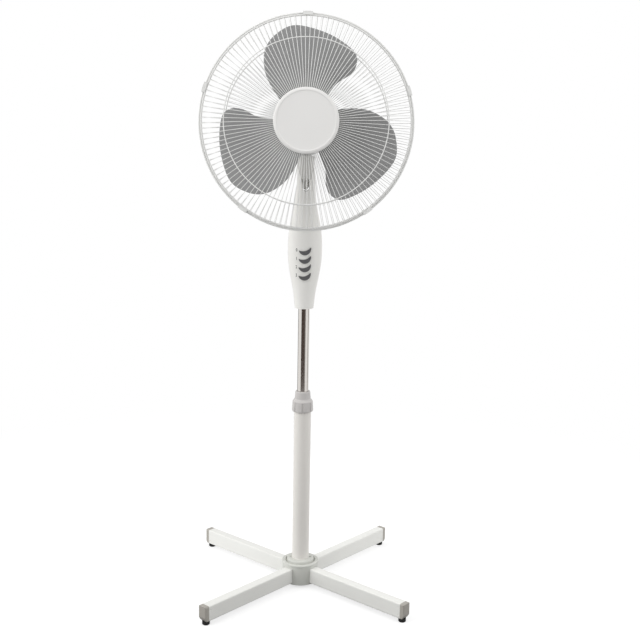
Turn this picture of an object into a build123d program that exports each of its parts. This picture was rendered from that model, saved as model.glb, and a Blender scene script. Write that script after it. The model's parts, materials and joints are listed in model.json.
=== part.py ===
from build123d import *
import os
from math import cos, radians, sin

# A free-standing pedestal fan. Millimetres, +Z up, the front of the fan faces -Y.
# The origin is on the floor, on the axis of the pole.

# ---- driving dimensions -------------------------------------------------------------------
BASE_TURN = 3.6            # the cross base stands turned by this much about the pole
LEG_WIDTH = 22.0
LEG_HEIGHT = 34.5
LEG_WALL = 1.5
LEG_BOTTOM = 9.0           # underside of the legs above the floor
LEG_START = 30.0           # distances from the pole's axis
LEG_END = 295.0
CAP_END = 305.4
FOOT_REACH = 293.9
FOOT_RADIUS = 8.2
FOOT_STUD_REACH = 289.0
CAP_CHAMFER_HEIGHT = 9.5   # the cut-off lower corner of a leg's cap
CAP_CHAMFER_WIDTH = 6.0
CAP_ROUNDING = 3.0         # of the cap's upright edges
LEG_SCREW_REACH = 36.0
LEG_SCREW_RADIUS = 2.1
LEG_SCREW_HEAD = 1.4
LEG_CORNER = 3.0           # corner radii of the legs' section, outside and inside
LEG_INNER_CORNER = 1.5
PLUG_DEPTH = 12.0          # a cap's plug reaches this far into its leg
FOOT_STUD_RADIUS = 3.0
FOOT_STUD_LENGTH = 9.0
DIMPLE_REACH = 290.5       # punch marks in the legs' sides, which grip the plugs
DIMPLE_HEIGHTS = (17.0, 34.0)
DIMPLE_RADIUS = 1.7
DIMPLE_DEPTH = 0.9

HUB_RADIUS = 40.6
HUB_BOTTOM = 6.0
HUB_TOP = 53.5
HUB_COLLAR_TOP = 59.5
HUB_GROOVE = 32.6          # outer radius of the groove's floor between the collar and the flange
TUBE_SEAT = 14.0           # height of the outer tube's lower end
BASE_BOLT_RADIUS = 4.0
BASE_BOLT_HEAD = 7.5

OUTER_TUBE_RADIUS = 19.0
OUTER_TUBE_WALL = 1.2
OUTER_TUBE_TOP = 418.0
INNER_TUBE_RADIUS = 12.5
INNER_TUBE_WALL = 1.0
INNER_TUBE_BOTTOM = 250.0
INNER_TUBE_TOP = 692.0
LOCK_NUT_BOTTOM = 406.5
LOCK_NUT_TOP = 452.0
LOCK_NUT_LOBES = 8
LOCK_NUT_FIT = 0.4         # clearance of the lock nut round the tubes and the collet
COLLET_DEPTH = 46.0        # the collet reaches this far down into the outer tube
COLLET_RISE = 24.0         # and this far above it
TUBE_SCREW_HEIGHT = 668.0
TUBE_SCREW_RADIUS = 1.6

HOUSING_WALL = 2.6
# height, half width, half depth of the control housing's outline; the first and the last lie
# beyond its ends and steady the curve there
HOUSING_SECTIONS = [
    (606.0, 17.6, 18.6),
    (640.0, 20.6, 20.6),
    (674.0, 24.3, 22.8),
    (708.0, 30.6, 25.8),
    (742.0, 35.9, 28.2),
    (776.0, 37.0, 29.0),
    (810.0, 34.8, 27.9),
    (844.0, 28.0, 24.5),
    (878.0, 22.5, 21.0),
    (912.0, 20.2, 19.0),
    (946.0, 18.8, 18.0),
    (980.0, 17.6, 17.2),
]
HOUSING_BOTTOM = 640.0
HOUSING_TOP = 946.0        # top of the ears
HOUSING_SPLIT = 6.0        # the back cover meets the front half on this plane
BACK_COVER_TOP = 884.0
POST_INSET = 1.0           # posts and ribs end this far inside the outer face
SOCKET_RADIUS = 17.0       # outside of the inner tube's socket
CAVITY_BOTTOM = 654.0
CAVITY_TOP = 880.0
ACROSS = (-60.0, 60.0)     # a span wider and deeper than the housing and the neck
BOSS_RADIUS = 3.8          # screw bosses of the housing and its cover
COVER_GAP = 0.2            # between the housing's front half and its cover
HOUSING_SCREW_RADIUS = 1.5
HOUSING_SCREW_HEAD = 2.9
GLAND_RADIUS = 5.0
GLAND_HEIGHT = 696.0

BUTTON_COUNT = 4
BUTTON_PITCH = 18.4
BUTTON_TOP_HEIGHT = 773.0  # middle of the top button's chord
BUTTON_RADIUS = 13.3
BUTTON_SAG = 4.8           # depth of the hollow in a crescent's upper edge
BUTTON_GAP = 0.4           # between a button and its opening
STEM_DROP = 7.5            # a button's stem is this far below its chord
BUTTON_TURN = 15.0         # the right horn of each crescent stands higher
BUTTON_PROUD = 2.6
FLANGE_DEPTH = 4.4         # a button's flange lies this far behind the housing's face

PIVOT_HEIGHT = 911.0       # the tilt axis crosses the pole's axis here
REST_TILT = 5.45           # the head looks up by this much at rest
LUG_RADIUS = 13.5
LUG_HALF_WIDTH = 4.8
SLOT_HALF_WIDTH = 7.0
EAR_INNER_RADIUS = 11.5
EAR_OUTER_RADIUS = 34.0
NECK_GAP = 0.8
NECK_TOP = 58.0            # above the tilt axis, along the neck
NECK_RELIEF = 24.0         # slope of the shoulders' undersides, which leaves room to tilt
NECK_HALF_WIDTH = 17.6
NECK_HALF_DEPTH = 16.5
SPINDLE_RADIUS = 6.0
SPINDLE_LENGTH = 24.0      # of the part inside the neck
TILT_BOLT_RADIUS = 3.0
TILT_HEAD_RADIUS = 5.6
EAR_SEAT = 15.5            # the tilt bolt's head and nut sit this far from the middle

HEAD_RISE = 119.0          # the fan's axis above the tilt axis, along the neck
RIM_FORWARD = 111.9        # the guards' rim plane ahead of the swivel axis
GUARD_RADIUS = 220.0
WIRE = 1.4
WIRE_COUNT = 120
RING_WIRE = 2.0
RIM_WIRE = 4.2
FRONT_RIM_WIRE = 3.8
FRONT_RIM_RADIUS = 213.7   # to the middle of the wire
REAR_RIM_BACK = 2.6        # the rims' wires behind and ahead of the rim plane
FRONT_RIM_AHEAD = 2.2
WELD = 0.2                 # how far welded wires sink into each other
BADGE_RADIUS = 65.0
BADGE_FACE = 167.6
MOTOR_RADIUS = 58.0
SHAFT_RADIUS = 4.0
MOTOR_FRONT = 65.5         # the motor's front face ahead of the swivel axis
BRACKET = 6.0              # lengths along the motor: end bracket, coil end, lamination stack
COIL = 6.0
STACK = 26.0
MOTOR_BACK = MOTOR_FRONT - 2 * BRACKET - 2 * COIL - STACK
COVER_JOINT = 30.0         # the two covers meet this far ahead of the swivel axis
STATOR_RADIUS = 41.0
STATOR_BORE = 24.5
ROTOR_RADIUS = 24.1
BEARING_RADIUS = 8.0
COVER_WALL = 2.5
COVER_FACE = 68.5          # the front cover's face, which the rear guard sits on
COVER_SHOULDER = 43.0      # where the front cover's face bends round to its side
COVER_BEND = 15.0
COVER_BORE = 10.0          # the front cover's hole for the shaft
NOSE_RADIUS = 24.0
NOSE_END = 90.0
# (radius, forward) points of the rear cover: round its shoulder, then along the cone with the vents
REAR_SHOULDER_OUTER = [(58.0, -14.0), (54.6, -41.0), (42.0, -60.0)]
REAR_SHOULDER_INNER = [(40.6, -57.9), (52.3, -39.8), (55.5, -14.0)]
REAR_CONE_OUTER = [(22.0, -70.5), (14.0, -72.0), (0.0, -72.0)]
REAR_CONE_INNER = [(0.0, -69.5), (13.6, -69.5), (21.2, -68.1)]
VENT_COUNT = 18            # slots in the cone, at a radius from the fan's axis
VENT_RADIUS = 31.8
VENT_LENGTH = 9.6
VENT_WIDTH = 3.4
COVER_SCREW_SPOTS = (-9.0, 9.0)
COVER_SCREW_SEAT = 69.8
COVER_SCREW_RADIUS = 1.8
KNOB_BACK = 26.0
KNOB_RADIUS = 3.0
SHAFT_END = 146.0
PIN_FORWARD = 94.0
PIN_RADIUS = 1.5
PIN_HALF_LENGTH = 9.0
GUARD_PLATE_RADIUS = 60.0
GUARD_PLATE_FRONT = 69.7
GUARD_NUT_FRONT = 80.0
GUARD_NUT_GRIPS = 12
CLIP_ANGLES = [18, 90, 162, 234, 306]
CLIP_WIDTH = 20.0
CLIP_LIP = 214.2           # the clips' jaws end at this radius
CLIP_WALL = 1.5
IMPELLER_BACK = 92.0       # ends of the impeller's hub
IMPELLER_FRONT = 135.0
SPINNER_GRIPS = 6
BLADE_COUNT = 3
BLADE_FORWARD = 120.0      # plane of the blades' edges
BLADE_THICKNESS = 2.2
BLADE_REACH = 104.0        # half width of the slab that a blade is cut from
# height above the fan's axis, pitch slope, hollow of the blade's sections
BLADE_SECTIONS = [(24.0, 0.60, 6.0), (110.0, 0.20, 8.0), (200.0, 0.08, 8.0)]
FIT = 0.05                 # radial clearance of running fits

os.makedirs("parts", exist_ok=True)

LEG_NAMES = {45: "rear_right", 135: "rear_left", 225: "front_left", 315: "front_right"}


# ---- helpers ------------------------------------------------------------------------------
def disc(radius, bottom, top):
    """A solid cylinder on the pole's axis between two heights."""
    return Pos(0, 0, bottom) * Cylinder(radius, top - bottom, align=(Align.CENTER, Align.CENTER, Align.MIN))


def ring(outer, inner, bottom, top):
    """A tube on the pole's axis between two heights."""
    return disc(outer, bottom, top) - disc(inner, bottom - 1, top + 1)


def turned(points):
    """A solid turned about the Z axis from (radius, height) points."""
    return revolve(Plane.XZ * make_face(Polyline(*points, close=True)), Axis.Z)


def turned_fore(points):
    """A solid turned about the fan's axis from (radius, forward) points, in the head's frame."""
    return Rot(90, 0, 0) * turned(points)


def turned_fore_curve(edges):
    """A solid turned about the fan's axis from a closed outline of lines and curves."""
    return Rot(90, 0, 0) * revolve(Plane.XZ * make_face(edges), Axis.Z)


def along_y(radius, start, end):
    """A cylinder along Y between two y values."""
    return Pos(0, start, 0) * Rot(-90, 0, 0) * disc(radius, 0, end - start)


def along_x(radius, start, end):
    """A cylinder along X between two x values."""
    return Pos(start, 0, 0) * Rot(0, 90, 0) * disc(radius, 0, end - start)


def block(x, y, z):
    """A box from its x, y and z spans."""
    size = [b - a for a, b in (x, y, z)]
    return Pos(x[0], y[0], z[0]) * Box(*size, align=(Align.MIN, Align.MIN, Align.MIN))


def on_base(angle):
    """The place of a leg: its own X axis runs outwards along the leg."""
    return Rot(0, 0, angle + BASE_TURN)


# The neck's frame has the tilt axis as its X axis. The head's frame is above it on the fan's axis.
NECK = Pos(0, 0, PIVOT_HEIGHT) * Rot(-REST_TILT, 0, 0)
HEAD = NECK * Pos(0, 0, HEAD_RISE)


# ---- cross base ---------------------------------------------------------------------------
def leg_section(inset, corner):
    return RectangleRounded(LEG_WIDTH - 2 * inset, LEG_HEIGHT - 2 * inset, corner)


def leg_bar(start, end, inset, corner):
    """A bar with the leg's section between two distances from the pole, on the local X axis."""
    place = Plane((start, 0, LEG_BOTTOM + LEG_HEIGHT / 2), x_dir=(0, 1, 0), z_dir=(1, 0, 0))
    return extrude(place * leg_section(inset, corner), end - start)


def make_leg():
    """A box tube with holes for its screw and its foot's stud, and dimples punched into its sides."""
    tube = leg_bar(LEG_START, LEG_END, 0, LEG_CORNER)
    tube -= leg_bar(LEG_START - 1, LEG_END + 1, LEG_WALL, LEG_INNER_CORNER)
    tube -= Pos(FOOT_STUD_REACH, 0, 0) * disc(FOOT_STUD_RADIUS, 0, LEG_BOTTOM + 2 * LEG_WALL)
    tube -= Pos(LEG_SCREW_REACH, 0, 0) * disc(LEG_SCREW_RADIUS, 0, LEG_BOTTOM + 2 * LEG_WALL)
    dimple = turned([(0, 0), (DIMPLE_RADIUS / 2, 0), (DIMPLE_RADIUS, DIMPLE_DEPTH), (0, DIMPLE_DEPTH)])
    for height in DIMPLE_HEIGHTS:
        for side in (-1, 1):
            place = Pos(DIMPLE_REACH, side * (LEG_WIDTH / 2 - DIMPLE_DEPTH), height)
            tube -= place * Rot(-90 * side, 0, 0) * dimple
    return tube


def make_leg_cap():
    """The end plug: a spigot in the tube and a cover with rounded edges and a sloping lower corner."""
    plan = Plane.XY * Pos(CAP_END - LEG_WIDTH) * RectangleRounded(2 * LEG_WIDTH, LEG_WIDTH, CAP_ROUNDING)
    cover = leg_bar(LEG_END, CAP_END, 0, LEG_CORNER) & extrude(plan, LEG_BOTTOM + LEG_HEIGHT)
    corner = Plane.XZ * make_face(Polyline(
        (CAP_END - CAP_CHAMFER_WIDTH, LEG_BOTTOM),
        (CAP_END, LEG_BOTTOM + CAP_CHAMFER_HEIGHT),
        (CAP_END + CAP_CHAMFER_WIDTH, 0),
        (CAP_END - CAP_CHAMFER_WIDTH, 0),
        close=True,
    ))
    spigot = leg_bar(LEG_END - PLUG_DEPTH, LEG_END, LEG_WALL, LEG_INNER_CORNER)
    stud_hole = Pos(FOOT_STUD_REACH, 0, 0) * disc(FOOT_STUD_RADIUS, LEG_BOTTOM, LEG_BOTTOM + FOOT_STUD_LENGTH)
    return cover - extrude(corner, LEG_WIDTH, both=True) + spigot - stud_hole


def make_foot():
    """A rubber foot under the leg's end, with its stud pressed up into the plug."""
    edge = 1.4
    pad = turned([
        (0, 0), (FOOT_RADIUS - edge, 0), (FOOT_RADIUS, edge), (FOOT_RADIUS, LEG_BOTTOM), (0, LEG_BOTTOM),
    ])
    stud = disc(FOOT_STUD_RADIUS, LEG_BOTTOM, LEG_BOTTOM + FOOT_STUD_LENGTH)
    return Pos(FOOT_REACH, 0, 0) * pad + Pos(FOOT_STUD_REACH, 0, 0) * stud


def make_base_hub():
    """A moulded hub: a plain wall between the legs, a flange on top and a collar round the tube."""
    body = turned([
        (0, HUB_BOTTOM),
        (HUB_RADIUS - 1, HUB_BOTTOM),
        (HUB_RADIUS, HUB_BOTTOM + 1),
        (HUB_RADIUS, HUB_TOP - 5),
        (HUB_RADIUS + 0.9, HUB_TOP - 4),
        (HUB_RADIUS + 0.9, HUB_TOP - 1),
        (HUB_RADIUS - 0.6, HUB_TOP),
        (HUB_GROOVE + 1.6, HUB_TOP),
        (HUB_GROOVE, HUB_TOP - 4),
        (HUB_GROOVE - 1.6, HUB_TOP - 4),
        (HUB_GROOVE - 2.6, HUB_COLLAR_TOP - 2),
        (HUB_GROOVE - 5, HUB_COLLAR_TOP),
        (0, HUB_COLLAR_TOP),
    ])
    body -= disc(OUTER_TUBE_RADIUS + FIT, TUBE_SEAT, HUB_COLLAR_TOP + 1)
    body -= disc(BASE_BOLT_RADIUS + 0.2, 0, TUBE_SEAT + 1)
    body -= disc(BASE_BOLT_HEAD + 1.5, 0, HUB_BOTTOM + 3)
    pocket = leg_bar(LEG_START, HUB_RADIUS + 5, -0.5, 3.4)
    pocket &= block((0, HUB_RADIUS + 9), (-LEG_WIDTH, LEG_WIDTH), (LEG_BOTTOM, HUB_TOP))
    hole = disc(LEG_SCREW_RADIUS + 0.1, 0, LEG_BOTTOM)
    hole += disc(2 * LEG_SCREW_RADIUS, 0, HUB_BOTTOM + LEG_SCREW_HEAD)
    hole = Pos(LEG_SCREW_REACH, 0, 0) * hole
    for angle in LEG_NAMES:
        body -= on_base(angle) * pocket
        body -= on_base(angle) * hole
    for side in (-1, 1):
        body -= Pos(side * 21, 0, HUB_COLLAR_TOP) * Box(6, 3.2, 16)
    return body


def make_leg_screws():
    """One screw from below through the hub's floor into each leg."""
    seat = HUB_BOTTOM + LEG_SCREW_HEAD
    screw = disc(2 * LEG_SCREW_RADIUS - 0.2, HUB_BOTTOM, seat) + disc(LEG_SCREW_RADIUS, seat, LEG_BOTTOM + 6)
    return [on_base(angle) * Pos(LEG_SCREW_REACH, 0, 0) * screw for angle in LEG_NAMES]


def make_base_bolt():
    head = disc(BASE_BOLT_HEAD, HUB_BOTTOM, HUB_BOTTOM + 3)
    return head + disc(BASE_BOLT_RADIUS, HUB_BOTTOM + 3, TUBE_SEAT + 18)


def make_tube_plug():
    """The plug inside the foot of the outer tube, which the base bolt screws into."""
    return ring(OUTER_TUBE_RADIUS - OUTER_TUBE_WALL, BASE_BOLT_RADIUS, TUBE_SEAT, TUBE_SEAT + 28)


# ---- telescopic pole ----------------------------------------------------------------------
def make_outer_tube():
    return ring(OUTER_TUBE_RADIUS, OUTER_TUBE_RADIUS - OUTER_TUBE_WALL, TUBE_SEAT, OUTER_TUBE_TOP)


def make_collet():
    """The guide in the tube's mouth. Its slotted fingers are squeezed on the inner tube."""
    bore = INNER_TUBE_RADIUS + FIT
    shape = turned([
        (bore, OUTER_TUBE_TOP - COLLET_DEPTH),
        (OUTER_TUBE_RADIUS - OUTER_TUBE_WALL, OUTER_TUBE_TOP - COLLET_DEPTH),
        (OUTER_TUBE_RADIUS - OUTER_TUBE_WALL, OUTER_TUBE_TOP),
        (OUTER_TUBE_RADIUS, OUTER_TUBE_TOP),
        (OUTER_TUBE_RADIUS, OUTER_TUBE_TOP + 6),
        (16.6, OUTER_TUBE_TOP + 8),
        (14.4, OUTER_TUBE_TOP + COLLET_RISE),
        (bore, OUTER_TUBE_TOP + COLLET_RISE),
    ])
    for angle in (0, 90):
        slit = block(ACROSS, (-1, 1), (OUTER_TUBE_TOP + 7, OUTER_TUBE_TOP + COLLET_RISE + 1))
        shape -= Rot(0, 0, angle) * slit
    return shape


def make_lock_nut():
    """The height lock: a lobed skirt with a plain neck above, turned by hand to squeeze the collet."""
    nut = turned([
        (OUTER_TUBE_RADIUS + LOCK_NUT_FIT, LOCK_NUT_BOTTOM),
        (22.8, LOCK_NUT_BOTTOM),
        (23.6, LOCK_NUT_BOTTOM + 2),
        (22.6, LOCK_NUT_BOTTOM + 22.5),
        (21.0, LOCK_NUT_BOTTOM + 24.5),
        (17.8, LOCK_NUT_BOTTOM + 28.5),
        (16.6, LOCK_NUT_TOP - 2),
        (15.4, LOCK_NUT_TOP),
        (INNER_TUBE_RADIUS + LOCK_NUT_FIT, LOCK_NUT_TOP),
        (INNER_TUBE_RADIUS + LOCK_NUT_FIT, OUTER_TUBE_TOP + COLLET_RISE + LOCK_NUT_FIT),
        (14.8, OUTER_TUBE_TOP + COLLET_RISE + LOCK_NUT_FIT),
        (17.0, OUTER_TUBE_TOP + 8.3),
        (OUTER_TUBE_RADIUS + LOCK_NUT_FIT, OUTER_TUBE_TOP + 6.3),
    ])
    for i in range(LOCK_NUT_LOBES):
        groove = Pos(24.4, 0, 0) * disc(2.8, LOCK_NUT_BOTTOM - 1, LOCK_NUT_BOTTOM + 22)
        nut -= Rot(0, 0, 91 + 360 / LOCK_NUT_LOBES * i) * groove
    return nut


def make_inner_tube():
    tube = ring(INNER_TUBE_RADIUS, INNER_TUBE_RADIUS - INNER_TUBE_WALL, INNER_TUBE_BOTTOM, INNER_TUBE_TOP)
    return tube - Pos(0, 0, TUBE_SCREW_HEIGHT) * along_y(TUBE_SCREW_RADIUS, 0, 20)


def make_tube_bush():
    """The nylon sleeve on the inner tube's foot, which slides in the outer tube."""
    outside = OUTER_TUBE_RADIUS - OUTER_TUBE_WALL - 0.3
    return ring(outside, INNER_TUBE_RADIUS, INNER_TUBE_BOTTOM, INNER_TUBE_BOTTOM + 18)


# ---- control housing ----------------------------------------------------------------------
def housing_loft(inset, low, high):
    """The housing's outline made smaller by an inset, and cut off at two heights."""
    sections = [
        Plane((0, 0, z)) * Ellipse(half_width - inset, half_depth - inset)
        for z, half_width, half_depth in HOUSING_SECTIONS
    ]
    return loft(sections) & block(ACROSS, ACROSS, (low, high))


def ear_envelope(gap):
    """A solid turned about the tilt axis: narrow in the middle and wide at the outside of the ears."""
    half = [
        (0, 0),
        (0, EAR_INNER_RADIUS + gap),
        (SLOT_HALF_WIDTH, EAR_INNER_RADIUS + gap),
        (SLOT_HALF_WIDTH + 10, EAR_OUTER_RADIUS + gap),
        (24, EAR_OUTER_RADIUS + gap),
        (24, 0),
    ]
    cone = revolve(Plane.XY * make_face(Polyline(*half, close=True)), Axis.X)
    return Pos(0, 0, PIVOT_HEIGHT) * (cone + mirror(cone, Plane.YZ))


def crescent(grow):
    """A button's outline, in the XZ plane: a half disc less a wider, shallower disc above it."""
    radius = BUTTON_RADIUS + grow
    sag = BUTTON_SAG - grow
    wide = (BUTTON_RADIUS ** 2 + sag ** 2) / (2 * sag)
    upper_half = Pos(0, radius) * Rectangle(4 * radius, 2 * radius)
    return Rot(0, 0, BUTTON_TURN) * (Circle(radius) - Pos(0, wide - sag) * Circle(wide) - upper_half)


def button_height(i):
    return BUTTON_TOP_HEIGHT - BUTTON_PITCH * i


def front_depth(z):
    """How far the housing's front stands ahead of the pole's axis, near the buttons."""
    return 29.0 - 0.00076 * (z - 772.0) ** 2


def button_prism(i, grow, start, end):
    """The crescent of a button extruded between two y values."""
    place = Plane((0, start, button_height(i)), x_dir=(1, 0, 0), z_dir=(0, 1, 0))
    return extrude(place * mirror(crescent(grow), Plane.XZ), end - start)


SCREW_SPOTS = [(-24.0, 792.0), (24.0, 792.0), (0.0, 858.0)]
# half width, bottom and top of the ribs that hold the switch block and the capacitor
RIBS = [(16.0, 736.0, 766.0), (13.0, 800.0, 810.0)]


def make_control_housing():
    """The front half with the ears of the tilt joint, the tube socket and the button openings."""
    shell = housing_loft(0, HOUSING_BOTTOM, HOUSING_TOP)
    shell -= housing_loft(HOUSING_WALL, CAVITY_BOTTOM, CAVITY_TOP)
    room = housing_loft(POST_INSET, HOUSING_BOTTOM, HOUSING_TOP)
    shell += disc(SOCKET_RADIUS, CAVITY_BOTTOM - 2, INNER_TUBE_TOP) & room
    for x, z in SCREW_SPOTS:
        shell += Pos(x, 0, z) * along_y(BOSS_RADIUS, -40, HOUSING_SPLIT) & room
    for half_width, low, high in RIBS:
        for side in (-1, 1):
            ends = sorted((side * half_width, side * 50))
            shell += block(ends, (-4, 0), (low, high)) & room
    back = block(ACROSS, (HOUSING_SPLIT, 60), (0, BACK_COVER_TOP))
    back -= disc(SOCKET_RADIUS, 0, INNER_TUBE_TOP)
    shell -= back
    shell -= disc(INNER_TUBE_RADIUS, 0, INNER_TUBE_TOP + 1)
    shell -= block(ACROSS, ACROSS, (PIVOT_HEIGHT, HOUSING_TOP + 1)) - ear_envelope(0)
    slot_floor = PIVOT_HEIGHT - 9
    shell -= block((-SLOT_HALF_WIDTH, SLOT_HALF_WIDTH), ACROSS, (slot_floor, HOUSING_TOP + 1))
    shell -= Pos(0, 0, slot_floor) * along_y(SLOT_HALF_WIDTH, *ACROSS)
    shell -= Pos(0, 0, PIVOT_HEIGHT) * along_x(TILT_BOLT_RADIUS + FIT, *ACROSS)
    for side in (-1, 1):
        ends = sorted((side * (EAR_SEAT - 0.1), side * 40))
        shell -= Pos(0, 0, PIVOT_HEIGHT) * along_x(TILT_HEAD_RADIUS + 0.6, *ends)
    for i in range(BUTTON_COUNT):
        shell -= button_prism(i, BUTTON_GAP, -40, -12)
    for x, z in SCREW_SPOTS:
        shell -= Pos(x, 0, z) * along_y(HOUSING_SCREW_RADIUS, -8, 20)
    shell -= Pos(0, 0, TUBE_SCREW_HEIGHT) * along_y(TUBE_SCREW_RADIUS, 8, 30)
    return shell


def make_housing_cover():
    """The back cover of the control housing, with its screw holes and the cord's opening."""
    edge = HOUSING_SPLIT + COVER_GAP
    skin = housing_loft(0, HOUSING_BOTTOM, BACK_COVER_TOP - 0.3)
    skin -= housing_loft(HOUSING_WALL, HOUSING_BOTTOM - 1, HOUSING_TOP)
    skin &= block(ACROSS, (edge, 60), (0, HOUSING_TOP))
    skin -= disc(SOCKET_RADIUS + COVER_GAP, 0, HOUSING_TOP)
    room = housing_loft(POST_INSET, HOUSING_BOTTOM, HOUSING_TOP)
    for x, z in SCREW_SPOTS:
        skin += Pos(x, 0, z) * along_y(BOSS_RADIUS, edge, 24) & room
        skin -= Pos(x, 0, z) * along_y(HOUSING_SCREW_RADIUS + 0.2, 0, 40)
        skin -= Pos(x, 0, z) * along_y(HOUSING_SCREW_HEAD + 0.1, screw_seat(x), 40)
    skin -= Pos(0, 0, TUBE_SCREW_HEIGHT) * along_y(TUBE_SCREW_RADIUS + 0.1, 8, 40)
    skin -= Pos(0, 0, GLAND_HEIGHT) * along_y(GLAND_RADIUS, 8, 40)
    return skin


def screw_seat(x):
    """The y value under a cover screw's head: the cover is shallower at the middle one."""
    return 17.0 if x else 16.0


def make_housing_screws():
    screws = []
    for x, z in SCREW_SPOTS:
        seat = screw_seat(x)
        screw = along_y(HOUSING_SCREW_RADIUS, -6, seat) + along_y(HOUSING_SCREW_HEAD, seat, seat + 1.8)
        screws.append(Pos(x, 0, z) * screw)
    return screws


def make_tube_screw():
    """The screw that holds the inner tube in the housing's socket, from the back."""
    seat = 23.5
    screw = along_y(TUBE_SCREW_RADIUS, 9, seat) + along_y(2 * TUBE_SCREW_RADIUS, seat, seat + 2)
    return Pos(0, 0, TUBE_SCREW_HEIGHT) * screw


def make_cord_gland():
    """The rubber grommet in the back cover. Nothing is in its bore."""
    bore = GLAND_RADIUS - 1.6
    grommet = turned([
        (bore, 0), (GLAND_RADIUS, 0), (GLAND_RADIUS, 6), (GLAND_RADIUS + 2, 6), (GLAND_RADIUS + 1.4, 10),
        (bore, 10),
    ])
    return Pos(0, 20.4, GLAND_HEIGHT) * Rot(-90, 0, 0) * grommet


def make_button(i):
    """A push button: a crescent cap, a flange that keeps it in, and a stem to the switch."""
    z = button_height(i)
    face = -(front_depth(z - 4) + BUTTON_PROUD)
    seat = -(front_depth(z - 16) - FLANGE_DEPTH)
    cap = button_prism(i, 0, face, seat)
    flange = Pos(0, 0, z) * block((-5.5, 5.5), (seat, seat + 2), (-16, -1))
    stem = Pos(0, 0, z - STEM_DROP) * block((-4, 4), (seat + 2, -12), (-3, 3))
    return cap + flange + stem


def make_switch_block():
    """The push-button switch, with a well in its face for each button's stem."""
    bottom = button_height(BUTTON_COUNT - 1) - 18
    body = block((-16, 16), (-13.5, 5), (bottom, button_height(0) + 6))
    for i in range(BUTTON_COUNT):
        z = button_height(i) - STEM_DROP
        body -= Pos(0, 0, z) * block((-4.5, 4.5), (-14, -7), (-3.5, 3.5))
    return body


def make_capacitor():
    return block((-13, 13), (-12, 4), (788, 822))


# ---- tilt joint and neck ------------------------------------------------------------------
def make_tilt_bolt():
    end = EAR_SEAT + 3.9
    bolt = along_x(TILT_BOLT_RADIUS, -end, end) + along_x(TILT_HEAD_RADIUS, -end, -EAR_SEAT)
    return Pos(0, 0, PIVOT_HEIGHT) * bolt


def make_tilt_nut():
    hexagon = Plane.YZ * RegularPolygon(TILT_HEAD_RADIUS, 6)
    return Pos(EAR_SEAT, 0, PIVOT_HEIGHT) * (extrude(hexagon, 3.4) - along_x(TILT_BOLT_RADIUS, -1, 5))


def make_tilt_washers():
    """Two friction washers between the lug and the ears."""
    washer = along_x(8.5, LUG_HALF_WIDTH + 0.3, SLOT_HALF_WIDTH) - along_x(TILT_BOLT_RADIUS, 0, 10)
    washer = Pos(0, 0, PIVOT_HEIGHT) * washer
    return [washer, mirror(washer, Plane.YZ)]


def make_neck():
    """The tilting neck: a lug between the ears, shoulders that follow the ears, and the swivel socket."""
    top = PIVOT_HEIGHT + NECK_TOP
    column = loft([
        Plane((0, 0, PIVOT_HEIGHT)) * RectangleRounded(2 * NECK_HALF_WIDTH, 2 * NECK_HALF_DEPTH, 8),
        Plane((0, 0, top - 6)) * RectangleRounded(2 * NECK_HALF_WIDTH, 2 * NECK_HALF_DEPTH + 1, 14),
    ])
    column += disc(19.5, top - 6, top)
    shoulders = column - ear_envelope(NECK_GAP)
    for side in (-1, 1):
        relief = Pos(0, 0, PIVOT_HEIGHT + 1) * Rot(side * NECK_RELIEF, 0, 0)
        shoulders -= relief * block(ACROSS, sorted((0, side * 60)), (-60, 0))
    web = block((-LUG_HALF_WIDTH, LUG_HALF_WIDTH), (-12, 12), (PIVOT_HEIGHT, PIVOT_HEIGHT + 20))
    lug_edge = 3.5
    lug = revolve(
        Plane.XY * make_face(Polyline(
            (-LUG_HALF_WIDTH, 0),
            (-LUG_HALF_WIDTH, LUG_RADIUS - lug_edge),
            (-LUG_HALF_WIDTH + 1.3, LUG_RADIUS - 1),
            (-LUG_HALF_WIDTH + lug_edge, LUG_RADIUS),
            (LUG_HALF_WIDTH - lug_edge, LUG_RADIUS),
            (LUG_HALF_WIDTH - 1.3, LUG_RADIUS - 1),
            (LUG_HALF_WIDTH, LUG_RADIUS - lug_edge),
            (LUG_HALF_WIDTH, 0),
            close=True,
        )),
        Axis.X,
    )
    lug = Pos(0, 0, PIVOT_HEIGHT) * lug
    neck = shoulders + web + lug
    neck -= Pos(0, 0, PIVOT_HEIGHT) * along_x(TILT_BOLT_RADIUS + FIT, *ACROSS)
    neck -= disc(SPINDLE_RADIUS + FIT, top - SPINDLE_LENGTH - 2, top + 1)
    return NECK * Pos(0, 0, -PIVOT_HEIGHT) * neck


# ---- motor --------------------------------------------------------------------------------
SWIVEL_SEAT = NECK_TOP - HEAD_RISE   # top face of the neck in the head's frame


def make_swivel_bracket():
    """The spindle under the motor, with the arm that carries the motor and gearbox."""
    spindle = disc(SPINDLE_RADIUS, SWIVEL_SEAT - SPINDLE_LENGTH, SWIVEL_SEAT + 3)
    flange = disc(13, SWIVEL_SEAT + 2.4, SWIVEL_SEAT + 6)
    post = block((-9, 9), (-8, 8), (SWIVEL_SEAT + 6, -30))
    saddle = block((-14, 14), (-7, 30), (-34, -28))
    return spindle + flange + post + saddle


def make_swivel_washer():
    return ring(12, SPINDLE_RADIUS, SWIVEL_SEAT + 0.4, SWIVEL_SEAT + 2.4)


def make_gearbox():
    """The oscillation gearbox behind the motor, with the worm's bore and the knob's guide."""
    body = block((-17, 17), (-MOTOR_BACK, 34), (-28, 20))
    body += Pos(0, KNOB_BACK, 0) * disc(7, 20, 30)
    body -= Pos(0, KNOB_BACK, 0) * disc(KNOB_RADIUS + FIT, 6, 31)
    body -= along_y(SHAFT_RADIUS + 1, -MOTOR_BACK - 1, 8)
    for x in COVER_SCREW_SPOTS:
        body -= Pos(x, 0, 0) * along_y(COVER_SCREW_RADIUS, 28, 35)
    return body


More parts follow.
